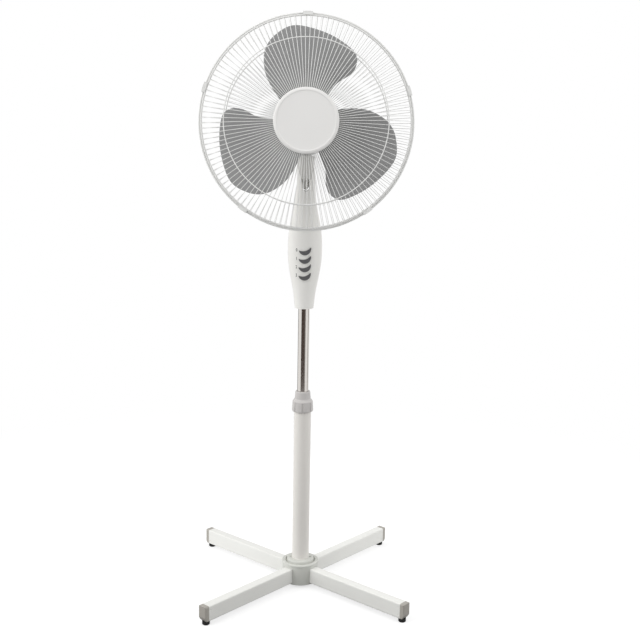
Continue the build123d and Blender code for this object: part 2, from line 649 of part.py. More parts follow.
def make_oscillation_knob():
    """Pushed down the fan swings, pulled up it stays."""
    head = turned([(0, 58), (7, 58), (6.4, 68), (8, 70), (8, 74), (7, 75.5), (0, 75.5)])
    return Pos(0, KNOB_BACK, 0) * (disc(KNOB_RADIUS, 14, 59) + head)


def make_end_bracket(front):
    """A die-cast motor end: a disc with a bearing seat and four open windows, behind a given plane."""
    back = front + BRACKET
    plate = along_y(STATOR_RADIUS, front, back) - along_y(BEARING_RADIUS, front - 1, back + 1)
    for angle in range(45, 360, 90):
        plate -= Rot(0, angle, 0) * Pos(25, 0, 0) * along_y(8, front - 1, back + 1)
    return plate


def make_stator():
    front = -MOTOR_FRONT + BRACKET + COIL
    return along_y(STATOR_RADIUS, front, front + STACK) - along_y(STATOR_BORE, front - 1, front + STACK + 1)


def make_coils():
    coil = along_y(STATOR_RADIUS - 3, 0, COIL) - along_y(STATOR_BORE + 2.5, -1, COIL + 1)
    return [Pos(0, y, 0) * coil for y in (-MOTOR_FRONT + BRACKET, -MOTOR_BACK - BRACKET - COIL)]


def make_bearings():
    bush = along_y(BEARING_RADIUS, 0, BRACKET) - along_y(SHAFT_RADIUS + FIT, -1, BRACKET + 1)
    return [Pos(0, y, 0) * bush for y in (-MOTOR_FRONT, -MOTOR_BACK - BRACKET)]


def make_motor_front_cover():
    """The front shell, whose threaded nose carries the rear guard."""
    edge, inside = COVER_JOINT, MOTOR_RADIUS - COVER_WALL
    bend_start = COVER_FACE - COVER_BEND
    outer = RadiusArc((COVER_SHOULDER, COVER_FACE), (MOTOR_RADIUS, bend_start), COVER_BEND)
    return turned_fore_curve([
        Polyline(
            (COVER_BORE, MOTOR_FRONT),
            (COVER_BORE, NOSE_END),
            (NOSE_RADIUS, NOSE_END),
            (NOSE_RADIUS, COVER_FACE),
            outer @ 0,
        ),
        outer,
        Polyline(
            outer @ 1,
            (MOTOR_RADIUS, edge),
            (inside, edge),
            (inside, bend_start + 1),
            (inside - 4, MOTOR_FRONT - 4),
            (COVER_SHOULDER, MOTOR_FRONT),
            (COVER_BORE, MOTOR_FRONT),
        ),
    ])


def make_motor_rear_cover():
    """The rear shell: a rounded pot with vents, a hole for the knob and one for the spindle."""
    edge, inside = COVER_JOINT, MOTOR_RADIUS - COVER_WALL
    cone = Vector(*REAR_CONE_OUTER[0]) - Vector(*REAR_SHOULDER_OUTER[-1])
    outer = Spline(*REAR_SHOULDER_OUTER, tangents=[(0, -1), cone])
    inner = Spline(*REAR_SHOULDER_INNER, tangents=[cone * -1, (0, 1)])
    cover = turned_fore_curve([
        Line((MOTOR_RADIUS, edge), outer @ 0),
        outer,
        Polyline(outer @ 1, *REAR_CONE_OUTER, *REAR_CONE_INNER, inner @ 0),
        inner,
        Polyline(inner @ 1, (inside, edge), (MOTOR_RADIUS, edge)),
    ])
    cover -= Pos(0, KNOB_BACK, 0) * disc(KNOB_RADIUS + 1, 0, 80)
    cover -= disc(15, -80, 0)
    for x in COVER_SCREW_SPOTS:
        cover -= Pos(x, 0, 0) * along_y(COVER_SCREW_RADIUS, 0, 80)
        cover -= Pos(x, 0, 0) * along_y(2 * COVER_SCREW_RADIUS - 0.2, COVER_SCREW_SEAT, 80)
    for i in range(VENT_COUNT):
        cover -= Rot(0, 360 / VENT_COUNT * i, 0) * Pos(VENT_RADIUS, 60, 0) * Box(VENT_LENGTH, 30, VENT_WIDTH)
    return cover


def make_cover_screws():
    """Two screws through the back of the rear cover into the gearbox."""
    head = along_y(2 * COVER_SCREW_RADIUS - 0.4, COVER_SCREW_SEAT, COVER_SCREW_SEAT + 2)
    screw = along_y(COVER_SCREW_RADIUS, 28, COVER_SCREW_SEAT) + head
    return [Pos(x, 0, 0) * screw for x in COVER_SCREW_SPOTS]


def make_motor_shaft():
    return along_y(SHAFT_RADIUS, -SHAFT_END, 4) - make_drive_pin()


def make_rotor():
    front = -MOTOR_FRONT + BRACKET + COIL
    return along_y(ROTOR_RADIUS, front, front + STACK) - along_y(SHAFT_RADIUS, front - 1, front + STACK + 1)


# ---- guards -------------------------------------------------------------------------------
# (radius, forward) points along one wire of each guard
REAR_PROFILE = [(56.0, 70.7), (110.0, 74.0), (172.0, 97.0), (216.2, 108.6)]
FRONT_PROFILE = [(54.0, 161.6), (167.0, 148.4), (205.0, 129.4), (213.0, 115.4)]
REAR_RING_RADII = [58.0, 167.0]
FRONT_RING_RADII = [57.0, 166.0]


def thick_line(points, half):
    """A band of even thickness round a line of (radius, forward) points, with mitred corners."""
    near, far = [], []
    for i, point in enumerate(points):
        here = Vector(*point)
        before = (here - Vector(*points[i - 1])).normalized() if i else None
        after = (Vector(*points[i + 1]) - here).normalized() if i + 1 < len(points) else None
        way = ((before or after) + (after or before)).normalized()
        side = Vector(-way.Y, way.X)
        reach = half / way.dot(before or after)
        near.append(tuple(here + side * reach)[:2])
        far.append(tuple(here - side * reach)[:2])
    return near + far[::-1]


def make_wires(profile):
    """A guard's wires: one bent wire, turned round the fan's axis."""
    outline = make_face(Polyline(*thick_line(profile, WIRE / 2), close=True))
    wire = Rot(90, 0, 0) * extrude(Plane.XZ * outline, WIRE / 2, both=True)
    return [Rot(0, 360 / WIRE_COUNT * (i + 0.5), 0) * wire for i in range(WIRE_COUNT)]


def guard_ring(radius, forward, size):
    """A ring of eight-sided wire about the fan's axis."""
    section = Pos(radius, forward) * RegularPolygon(size / 2, 8, major_radius=False, rotation=22.5)
    return Rot(90, 0, 0) * revolve(Plane.XZ * section, Axis.Z)


def welded_ring(profile, radius, side):
    """A ring welded across a guard's wires, ahead of them (side 1) or behind them (side -1)."""
    for start, end in zip(profile, profile[1:]):
        if start[0] <= radius <= end[0]:
            line = Line(start, end)
            spot = line @ ((radius - start[0]) / (end[0] - start[0]))
            away = (line % 0).rotate(Axis.Z, 90 * side) * ((WIRE + RING_WIRE) / 2 - WELD)
            return guard_ring(spot.X + away.X, spot.Y + away.Y, RING_WIRE)


def make_rear_rings():
    rings = [welded_ring(REAR_PROFILE, radius, 1) for radius in REAR_RING_RADII]
    return rings + [guard_ring(GUARD_RADIUS - RIM_WIRE / 2, RIM_FORWARD - REAR_RIM_BACK, RIM_WIRE)]


def make_front_rings():
    rings = [welded_ring(FRONT_PROFILE, radius, -1) for radius in FRONT_RING_RADII]
    return rings + [guard_ring(FRONT_RIM_RADIUS, RIM_FORWARD + FRONT_RIM_AHEAD, FRONT_RIM_WIRE)]


def make_guard_plate():
    """The pressed plate at the middle of the rear guard, which its wires are welded to."""
    plate = along_y(GUARD_PLATE_RADIUS, -GUARD_PLATE_FRONT, -COVER_FACE)
    return plate - along_y(NOSE_RADIUS, -NOSE_END, 0)


def make_guard_nut():
    """The ring nut that clamps the rear guard on the front cover's nose."""
    nut = turned_fore([
        (NOSE_RADIUS, GUARD_PLATE_FRONT), (36, GUARD_PLATE_FRONT), (34, GUARD_NUT_FRONT),
        (NOSE_RADIUS, GUARD_NUT_FRONT),
    ])
    grip = Pos(37.5, 0, 0) * along_y(3.4, -90, -70)
    for i in range(GUARD_NUT_GRIPS):
        nut -= Rot(0, 360 / GUARD_NUT_GRIPS * i, 0) * grip
    return nut


def make_badge():
    """The plain round plate at the middle of the front guard, with a raised border."""
    face = BADGE_FACE
    return turned_fore([
        (0, face - 5),
        (BADGE_RADIUS - 2, face - 5),
        (BADGE_RADIUS, face - 4),
        (BADGE_RADIUS, face - 1),
        (BADGE_RADIUS - 1.2, face),
        (BADGE_RADIUS - 4.5, face),
        (BADGE_RADIUS - 6, face - 0.8),
        (0, face - 0.2),
    ])


def make_guard_clips():
    """Five spring clips round the rim, which hold the two guards together."""
    back = RIM_FORWARD - REAR_RIM_BACK - RIM_WIRE / 2
    front = RIM_FORWARD + FRONT_RIM_AHEAD + FRONT_RIM_WIRE / 2
    outside = GUARD_RADIUS + CLIP_WALL
    jaws = turned_fore([
        (CLIP_LIP, back - CLIP_WALL),
        (outside, back - CLIP_WALL),
        (outside, front + CLIP_WALL),
        (CLIP_LIP, front + CLIP_WALL),
        (CLIP_LIP, front),
        (GUARD_RADIUS, front),
        (GUARD_RADIUS, back),
        (CLIP_LIP, back),
    ])
    clip = jaws & block((CLIP_LIP - 1, outside + 1), (-140, -90), (-CLIP_WIDTH / 2, CLIP_WIDTH / 2))
    return [Rot(0, -angle, 0) * clip for angle in CLIP_ANGLES]


# ---- impeller -----------------------------------------------------------------------------
# (radius, angle) round one blade, seen from the front, counted from the right and upwards.
BLADE_OUTLINE = [
    (60, 53), (100, 52), (133, 47.5), (157, 49.5), (172, 57), (182, 76), (193.5, 96), (184, 109),
    (165, 119.5), (133, 128.5), (100, 134.8), (60, 141),
]


def make_blade():
    """One twisted blade, standing upwards and hollow to the front: a lofted slab cut to the outline."""
    sections = []
    for height, slope, hollow in BLADE_SECTIONS:
        rise = BLADE_REACH * slope
        front = ThreePointArc((-BLADE_REACH, rise), (0, -hollow), (BLADE_REACH, -rise))
        back = ThreePointArc((BLADE_REACH, -rise - BLADE_THICKNESS), (0, -hollow - BLADE_THICKNESS),
                             (-BLADE_REACH, rise - BLADE_THICKNESS))
        section = make_face([front, Line(front @ 1, back @ 0), back, Line(back @ 1, front @ 0)])
        sections.append(Plane.XY.offset(height) * section)
    slab = mirror(loft(sections), Plane.XZ)
    points = [(r * cos(radians(a)), r * sin(radians(a))) for r, a in BLADE_OUTLINE]
    root = BLADE_SECTIONS[0][0] - 4
    outline = make_face([Spline(*points), Polyline(points[-1], (-14, root), (14, root), points[0])])
    return Pos(0, -BLADE_FORWARD, 0) * (slab & extrude(Plane.XZ * outline, 80, both=True))


def make_fan_blades():
    """The impeller: three blades on a hollow hub, whose bush takes the drive pin."""
    hub = turned_fore([
        (SHAFT_RADIUS, IMPELLER_BACK),
        (9, IMPELLER_BACK),
        (9, IMPELLER_FRONT - 3),
        (27, IMPELLER_FRONT - 3),
        (27, IMPELLER_BACK + 4),
        (30, IMPELLER_BACK + 4),
        (31, IMPELLER_BACK + 10),
        (31, IMPELLER_FRONT - 5),
        (28, IMPELLER_FRONT),
        (SHAFT_RADIUS, IMPELLER_FRONT),
    ])
    hub -= Pos(0, -PIN_FORWARD, 0) * along_x(PIN_RADIUS, -10, 10)
    hub -= block((-10, 10), (-PIN_FORWARD, 0), (-PIN_RADIUS, PIN_RADIUS))
    blade = make_blade() - along_y(30, -200, 0)
    for i in range(BLADE_COUNT):
        hub += Rot(0, -360 / BLADE_COUNT * i, 0) * blade
    return hub


def make_spinner_nut():
    """The left-hand nut that holds the impeller on its shaft."""
    nut = turned_fore([
        (0, SHAFT_END + 4),
        (7, SHAFT_END + 4),
        (13, SHAFT_END),
        (14.5, SHAFT_END - 7),
        (14.5, IMPELLER_FRONT),
        (SHAFT_RADIUS, IMPELLER_FRONT),
        (SHAFT_RADIUS, SHAFT_END),
        (0, SHAFT_END),
    ])
    grip = Pos(16, 0, 0) * along_y(2.6, -SHAFT_END - 10, 0)
    for i in range(SPINNER_GRIPS):
        nut -= Rot(0, 360 / SPINNER_GRIPS * i, 0) * grip
    return nut


def make_drive_pin():
    """The cross pin behind the hub, which turns the impeller."""
    return Pos(0, -PIN_FORWARD, 0) * along_x(PIN_RADIUS, -PIN_HALF_LENGTH, PIN_HALF_LENGTH)


# ---- build --------------------------------------------------------------------------------
def write(name, shape, place=None):
    """Writes one sub-part, either one solid or a group of separate ones, to its own STEP file."""
    solids = shape if isinstance(shape, list) else [shape]
    if place is not None:
        solids = [place * s for s in solids]
    whole = solids[0] if len(solids) == 1 else Compound(children=[s.solid() for s in solids])
    export_step(whole, f"parts/{name}.step")


for angle, name in LEG_NAMES.items():
    write(f"leg_{name}", make_leg(), on_base(angle))
    write(f"leg_cap_{name}", make_leg_cap(), on_base(angle))
write("rubber_feet", [on_base(angle) * make_foot() for angle in LEG_NAMES])
write("base_hub", make_base_hub())
write("leg_screws", make_leg_screws())
write("base_bolt", make_base_bolt())
write("tube_plug", make_tube_plug())
write("outer_tube", make_outer_tube())
write("collet", make_collet())
write("lock_nut", make_lock_nut())
write("inner_tube", make_inner_tube())
write("tube_bush", make_tube_bush())
write("control_housing", make_control_housing())
write("housing_cover", make_housing_cover())
write("housing_screws", make_housing_screws())
write("tube_screw", make_tube_screw())
write("cord_gland", make_cord_gland())
write("switch_block", make_switch_block())
write("capacitor", make_capacitor())
for i in range(BUTTON_COUNT):
    write(f"button_{i}", make_button(i))
write("tilt_bolt", make_tilt_bolt())
write("tilt_nut", make_tilt_nut())
write("tilt_washers", make_tilt_washers())
write("neck", make_neck())
write("swivel_bracket", make_swivel_bracket(), HEAD)
write("swivel_washer", make_swivel_washer(), HEAD)
write("gearbox", make_gearbox(), HEAD)
write("oscillation_knob", make_oscillation_knob(), HEAD)
write("motor_front_end", make_end_bracket(-MOTOR_FRONT), HEAD)
write("motor_rear_end", make_end_bracket(-MOTOR_BACK - BRACKET), HEAD)
write("stator", make_stator(), HEAD)
write("stator_coils", make_coils(), HEAD)
write("shaft_bearings", make_bearings(), HEAD)
write("motor_front_cover", make_motor_front_cover(), HEAD)
write("motor_rear_cover", make_motor_rear_cover(), HEAD)
write("cover_screws", make_cover_screws(), HEAD)
write("rear_guard_wires", make_wires(REAR_PROFILE), HEAD)
write("rear_guard_rings", make_rear_rings(), HEAD)
write("front_guard_wires", make_wires(FRONT_PROFILE), HEAD)
write("front_guard_rings", make_front_rings(), HEAD)
write("rear_guard_plate", make_guard_plate(), HEAD)
write("guard_nut", make_guard_nut(), HEAD)
write("guard_badge", make_badge(), HEAD)
write("guard_clips", make_guard_clips(), HEAD)
write("motor_shaft", make_motor_shaft(), HEAD)
write("rotor", make_rotor(), HEAD)
write("fan_blades", make_fan_blades(), HEAD)
write("spinner_nut", make_spinner_nut(), HEAD)
write("drive_pin", make_drive_pin(), HEAD)
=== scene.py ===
"""Dresses a packed pedestal fan: round guard wires, impeller, buttons, height lock, markings and finishes.

Every piece is worked out in metres in the part's own frame, as packed: +Z up along the pole, and -Y
towards the fan's front.
"""

import json
from math import cos, pi, radians, sin

import bmesh
import bpy
import numpy as np
from bpy.props import FloatProperty, FloatVectorProperty, IntProperty, PointerProperty
from bpy.types import Operator, Panel, PropertyGroup
from mathutils import Matrix, Vector


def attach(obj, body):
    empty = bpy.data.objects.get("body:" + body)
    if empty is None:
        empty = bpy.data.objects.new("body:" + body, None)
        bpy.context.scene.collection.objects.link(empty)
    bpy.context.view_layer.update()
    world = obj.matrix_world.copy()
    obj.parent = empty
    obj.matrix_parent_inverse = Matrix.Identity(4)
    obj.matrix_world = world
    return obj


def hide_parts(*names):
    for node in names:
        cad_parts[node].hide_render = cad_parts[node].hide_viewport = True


bl_info = {
    "name": "Pedestal Fan Dressing",
    "version": (1, 0, 0),
    "blender": (4, 5, 0),
    "location": "3D View > Sidebar > Fan",
    "description": "Adds the guards, impeller, buttons, height lock and finishes of a pedestal fan",
    "category": "Object",
}

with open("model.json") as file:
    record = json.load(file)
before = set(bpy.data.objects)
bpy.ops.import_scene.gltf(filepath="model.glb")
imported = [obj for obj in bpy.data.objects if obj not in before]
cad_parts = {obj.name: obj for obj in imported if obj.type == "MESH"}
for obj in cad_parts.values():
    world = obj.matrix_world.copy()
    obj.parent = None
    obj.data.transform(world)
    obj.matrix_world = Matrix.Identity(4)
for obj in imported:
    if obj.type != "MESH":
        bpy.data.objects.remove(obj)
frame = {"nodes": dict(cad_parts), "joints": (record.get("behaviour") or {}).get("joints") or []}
NODES = frame["nodes"]
JOINTS = {joint["name"]: joint for joint in frame["joints"]}
MM = 0.001

# Points of one piece that are nearer than this, in metres, are joined.
SAME_POINT = 1e-6

# The fan head's own axes at rest, from the joints that turn about them.
HEAD_ORIGIN = np.array(JOINTS["oscillation"]["pos_m"])
HEAD_UP = np.array(JOINTS["oscillation"]["axis"])
HEAD_BACK = -np.array(JOINTS["fan_spin"]["axis"])
HEAD_ACROSS = np.cross(HEAD_BACK, HEAD_UP)


# ---- sizes and colours ------------------------------------------------------------------------


def length(label, millimetres, words):
    """A length property with its default given in millimetres."""
    return FloatProperty(
        name=label, description=words, default=millimetres * MM, min=0.0, unit="LENGTH", subtype="DISTANCE"
    )


def colour(label, red, green, blue, words):
    """A colour property with its default given as display values from 0 to 255."""
    shown = np.array([red, green, blue]) / 255
    linear = np.where(shown <= 0.04045, shown / 12.92, ((shown + 0.055) / 1.055) ** 2.4)
    return FloatVectorProperty(
        name=label, description=words, default=tuple(linear), size=3, min=0.0, max=1.0, subtype="COLOR"
    )


def lamp_strength(label, value, words):
    """A property for how strong a lamp is."""
    return FloatProperty(name=label, description=words, default=value, min=0.0)


class FanSizes(PropertyGroup):
    """Sizes of the pieces that are modelled here."""

    wire: length("Wire", 1.2, "Diameter of the guards' radial wires")
    wire_count: IntProperty(
        name="Wires", description="Radial wires in each guard", default=120, min=12, max=240
    )
    rear_rim: length("Rear rim", 4.2, "Diameter of the rear guard's rim wire")
    front_rim: length("Front rim", 3.8, "Diameter of the front guard's rim wire")
    ring: length("Ring", 2.0, "Diameter of the guards' inner rings")
    blade_skin: length("Blade", 2.2, "Thickness of the impeller's blades")
    digit: length("Digit", 6.8, "Height of the numbers beside the buttons")


class FanColours(PropertyGroup):
    """Colours of the finishes, as they look in plain light."""

    guard: colour("Guard", 232, 232, 230, "Enamel on the guard wires")
    tube: colour("Tube", 229, 226, 221, "Powder coat on the outer tube")
    leg: colour("Legs", 236, 236, 232, "Powder coat on the legs")
    housing: colour("Housing", 237, 236, 232, "Moulded control housing")
    badge: colour("Badge", 232, 231, 229, "Moulded plate at the middle of the front guard")
    lock: colour("Height lock", 197, 194, 192, "Moulded height lock")
    hub: colour("Hub", 208, 209, 203, "Moulded base hub")
    cap: colour("Leg caps", 170, 166, 159, "Moulded leg caps")
    neck: colour("Neck", 220, 219, 215, "Moulded neck")
    button: colour("Buttons", 92, 92, 94, "Moulded push buttons")
    blade: colour("Blades", 150, 150, 150, "Moulded impeller")
    chrome: colour("Chrome", 219, 215, 210, "Plated inner tube")
    rubber: colour("Feet", 24, 24, 24, "Rubber feet")
    marking: colour("Numbers", 46, 46, 48, "Printed numbers")


class FanStage(PropertyGroup):
    """The studio round the fan."""

    ambient: FloatProperty(name="Ambient", description="Light from all round", default=0.64, min=0.0, max=2.0)
    left: lamp_strength("Left", 1.62, "Strength of the soft lamp on the left")
    right: lamp_strength("Right", 0.86, "Strength of the soft lamp on the right")
    top: lamp_strength("Top", 0.30, "Strength of the soft lamp overhead")
    lens: FloatProperty(
        name="Lens", description="Focal length on a 36 mm sensor", default=60.59, min=10.0, max=200.0
    )


# ---- meshes -----------------------------------------------------------------------------------


def in_head(points):
    """Points from the head's own axes (across, back, up), in metres, to the part's own frame."""
    return HEAD_ORIGIN + points @ np.stack([HEAD_ACROSS, HEAD_BACK, HEAD_UP])


def grid_faces(rows, columns, close_rows=False, close_columns=True):
    """Quads that join each point of a grid to the next along its row and column; a closed way wraps round."""
    row = np.arange(rows if close_rows else rows - 1)[:, None]
    column = np.arange(columns if close_columns else columns - 1)[None, :]
    here, there = row * columns, (row + 1) % rows * columns
    beside = (column + 1) % columns
    quads = np.stack([here + column, here + beside, there + beside, there + column], -1)
    return quads.reshape(-1, 4).tolist()


def put_piece(name, points, faces, material, body, nodes, crease):
    """Makes a mesh piece that stands for some CAD nodes and rides on a body.

    Its faces are turned outwards, and it is smooth but for edges sharper than the crease angle, in degrees.
    """
    mesh = bpy.data.meshes.new(name)
    mesh.from_pydata(points.tolist(), [], faces)
    work = bmesh.new()
    work.from_mesh(mesh)
    bmesh.ops.remove_doubles(work, verts=work.verts, dist=SAME_POINT)
    bmesh.ops.recalc_face_normals(work, faces=work.faces)
    work.to_mesh(mesh)
    work.free()
    mesh.polygons.foreach_set("use_smooth", np.ones(len(mesh.polygons), bool))
    mesh.set_sharp_from_angle(angle=radians(crease))
    mesh.materials.append(material)
    piece = bpy.data.objects.new(name, mesh)
    bpy.context.scene.collection.objects.link(piece)
    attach(piece, body)
    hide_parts(*nodes)


def together(parts):
    """Several (points, faces) shells as one."""
    counts = np.cumsum([0] + [len(points) for points, _ in parts])
    faces = []
    for first, (_, shell) in zip(counts, parts):
        faces += [[corner + int(first) for corner in face] for face in shell]
    return np.concatenate([points for points, _ in parts]), faces


def rounded(corners, bends, steps=4):
    """A line through corner points with a parabola at each corner but the first and the last.

    A parabola starts and ends the given distance from its corner, or halfway to the next if that is nearer.
    """
    corners = np.array(corners, float)
    t = np.linspace(0, 1, steps)[:, None]
    pieces = [corners[:1]]
    for before, here, after, bend in zip(corners, corners[1:], corners[2:], bends):
        start = here + (before - here) * min(0.5, bend / np.linalg.norm(before - here))
        end = here + (after - here) * min(0.5, bend / np.linalg.norm(after - here))
        pieces.append((1 - t) ** 2 * start + 2 * t * (1 - t) * here + t**2 * end)
    return np.concatenate([*pieces, corners[-1:]])


def turned(profile, steps, is_ring=False):
    """A profile of (radius, forward) points turned about the head's axis, in the head's own axes.

    Point (i, j) is at angle 2 pi j / steps, at the radius and depth of profile point i. A ring's profile
    closes on itself; any other is a line whose two ends are closed by flat faces.
    """
    profile = np.array(profile, float)
    angle = np.linspace(0, 2 * pi, steps, endpoint=False)[None, :]
    radius, forward = profile[:, :1], profile[:, 1:]
    across, up = radius * np.cos(angle), radius * np.sin(angle)
    points = np.stack([across, np.broadcast_to(-forward, across.shape), up], -1).reshape(-1, 3)
    faces = grid_faces(len(profile), steps, close_rows=is_ring)
    last = (len(profile) - 1) * steps
    caps = [] if is_ring else [list(range(steps)), list(range(last, last + steps))]
    return points, faces + caps


def hoop(radius, forward, thickness, steps=180, sides=10):
    """A ring of round wire about the head's axis: a circle carried round a larger circle."""
    around = np.linspace(0, 2 * pi, steps, endpoint=False)[:, None]
    about = np.linspace(0, 2 * pi, sides, endpoint=False)[None, :]
    reach = radius + thickness / 2 * np.cos(about)
    back = -forward + thickness / 2 * np.sin(about) + 0 * around
    points = np.stack([reach * np.cos(around), back, reach * np.sin(around)], -1).reshape(-1, 3)
    return points, grid_faces(steps, sides, close_rows=True)


def spokes(path, thickness, count, first, sides=5):
    """Round wires that all follow one (radius, forward) path, turned about the head's axis.

    Each ring of a wire is a small regular polygon square to the path, which lies in a plane through the axis.
    The first wire stands the given share of a step round from the right.
    """
    along = np.gradient(path, axis=0)
    along /= np.linalg.norm(along, axis=1, keepdims=True)
    normal = np.stack([-along[:, 1], along[:, 0]], -1)
    about = np.linspace(0, 2 * pi, sides, endpoint=False)
    middle = path[:, None, :] + thickness / 2 * np.cos(about)[None, :, None] * normal[:, None, :]
    sideways = thickness / 2 * np.sin(about)[None, None, :]
    turn = ((np.arange(count) + first) * 2 * pi / count)[:, None, None]
    radial, forward = middle[..., 0][None], middle[..., 1][None]
    across = radial * np.cos(turn) - sideways * np.sin(turn)
    up = radial * np.sin(turn) + sideways * np.cos(turn)
    back = np.broadcast_to(-forward, across.shape)
    points = np.stack([across, back, up], -1).reshape(-1, 3)
    starts = np.arange(count)[:, None] * len(path) * sides
    sleeve = np.array(grid_faces(len(path), sides))
    faces = (sleeve[None] + starts[:, None]).reshape(-1, 4).tolist()
    for ring in (0, len(path) - 1):
        faces += (starts + ring * sides + np.arange(sides)).tolist()
    return points, faces


# ---- finishes ---------------------------------------------------------------------------------


# The slow noise that mottles a finish and the fine one that gives its grain, and the grain's depth in metres
MOTTLE_SCALE = 14.0
MOTTLE_DETAIL = 3.0
GRAIN_DETAIL = 2.0
GRAIN_DEPTH = 0.0005


def surface_group():
    """A node group that breaks up a colour and a roughness with slow mottling and fine grain.

    The colour is scaled by one less the mottle times a slow noise. The roughness grows by the wear times the
    same noise. The height is a fine noise.
    """
    group = bpy.data.node_groups.get("moulded_grain")
    if group:
        return group
    group = bpy.data.node_groups.new("moulded_grain", "ShaderNodeTree")
    for label, kind, default in (
        ("Vector", "NodeSocketVector", None),
        ("Colour", "NodeSocketColor", (0.8, 0.8, 0.8, 1.0)),
        ("Mottle", "NodeSocketFloat", 0.05),
        ("Roughness", "NodeSocketFloat", 0.4),
        ("Wear", "NodeSocketFloat", 0.12),
        ("Grain Scale", "NodeSocketFloat", 900.0),
    ):
        socket = group.interface.new_socket(name=label, in_out="INPUT", socket_type=kind)
        if default is not None:
            socket.default_value = default
    for label, kind in (
        ("Colour", "NodeSocketColor"),
        ("Roughness", "NodeSocketFloat"),
        ("Height", "NodeSocketFloat"),
    ):
        group.interface.new_socket(name=label, in_out="OUTPUT", socket_type=kind)
    add, link = group.nodes.new, group.links.new
    given, out = add("NodeGroupInput"), add("NodeGroupOutput")
    slow, fine = add("ShaderNodeTexNoise"), add("ShaderNodeTexNoise")
    slow.inputs["Scale"].default_value = MOTTLE_SCALE
    slow.inputs["Detail"].default_value = MOTTLE_DETAIL
    fine.inputs["Detail"].default_value = GRAIN_DETAIL
    link(given.outputs["Vector"], slow.inputs["Vector"])
    link(given.outputs["Vector"], fine.inputs["Vector"])
    link(given.outputs["Grain Scale"], fine.inputs["Scale"])
    shade = add("ShaderNodeMath")
    shade.operation = "MULTIPLY_ADD"
    shade.inputs[1].default_value = -1.0
    shade.inputs[2].default_value = 1.0
    depth = add("ShaderNodeMath")
    depth.operation = "MULTIPLY"
    link(slow.outputs["Fac"], depth.inputs[0])
    link(given.outputs["Mottle"], depth.inputs[1])
    link(depth.outputs[0], shade.inputs[0])
    tint = add("ShaderNodeVectorMath")
    tint.operation = "SCALE"
    link(given.outputs["Colour"], tint.inputs[0])
    link(shade.outputs[0], tint.inputs["Scale"])
    link(tint.outputs[0], out.inputs["Colour"])
    rough = add("ShaderNodeMath")
    rough.operation = "MULTIPLY_ADD"
    link(slow.outputs["Fac"], rough.inputs[0])
    link(given.outputs["Wear"], rough.inputs[1])
    link(given.outputs["Roughness"], rough.inputs[2])
    link(rough.outputs[0], out.inputs["Roughness"])
    link(fine.outputs["Fac"], out.inputs["Height"])
    return group


def finish(name, tint, roughness, mottle, grain, bump, stretch=(1, 1, 1), metallic=0.0, wear=0.12):
    """A material: the colour and roughness broken up by the grain group, with a fine bump.

    The mottle and wear are the noise's shares in the colour and the roughness, the grain is the fine noise's
    scale, and the stretch scales both noises along each axis.
    """
    made = bpy.data.materials.get(f"{name}_finish")
    if made:
        return made
    made = bpy.data.materials.new(f"{name}_finish")
    made.use_nodes = True
    add, link = made.node_tree.nodes.new, made.node_tree.links.new
    shader = made.node_tree.nodes["Principled BSDF"]
    where, turn, grained = add("ShaderNodeTexCoord"), add("ShaderNodeMapping"), add("ShaderNodeGroup")
    grained.node_tree = surface_group()
    turn.inputs["Scale"].default_value = stretch
    link(where.outputs["Object"], turn.inputs["Vector"])
    link(turn.outputs["Vector"], grained.inputs["Vector"])
    grained.inputs["Colour"].default_value = (*tint, 1.0)
    grained.inputs["Mottle"].default_value = mottle
    grained.inputs["Roughness"].default_value = roughness
    grained.inputs["Wear"].default_value = wear
    grained.inputs["Grain Scale"].default_value = grain
    link(grained.outputs["Colour"], shader.inputs["Base Color"])
    link(grained.outputs["Roughness"], shader.inputs["Roughness"])
    lift = add("ShaderNodeBump")
    lift.inputs["Strength"].default_value = bump
    lift.inputs["Distance"].default_value = GRAIN_DEPTH
    link(grained.outputs["Height"], lift.inputs["Height"])
    link(lift.outputs["Normal"], shader.inputs["Normal"])
    shader.inputs["Metallic"].default_value = metallic
    return made


def paint_nodes(material, *names):
    """Gives a material to CAD nodes by their slots."""
    for name in names:
        mesh = NODES[name].data
        mesh.materials.clear()
        mesh.materials.append(material)


def settings():
    """The scene's sizes and colours."""
    return bpy.context.scene.fan_sizes, bpy.context.scene.fan_colours


# ---- guards -----------------------------------------------------------------------------------

# (radius, forward) corners of one wire of each guard, and how far from each corner its bend starts, in
# millimetres
REAR_CORNERS = [(57.0, 70.9), (110.0, 74.0), (172.0, 97.0), (217.0, 108.9)]
REAR_BENDS = (16, 14)
FRONT_CORNERS = [(56.0, 161.4), (167.0, 148.4), (205.0, 129.4), (213.4, 115.0)]
FRONT_BENDS = (24, 9)

# (radius, forward) of each guard's inner rings and of its rim, in millimetres
REAR_RINGS = [(57.9, 72.3), (166.5, 96.6)]
REAR_RIM = (217.9, 109.3)
FRONT_RINGS = [(56.8, 159.8), (165.8, 147.0)]
FRONT_RIM = (213.7, 114.1)

# The share of a step that each guard's first wire stands round from the right. The rear wires stand a quarter
# of a step from the front ones.
REAR_STEP = 0.25
FRONT_STEP = 0.5


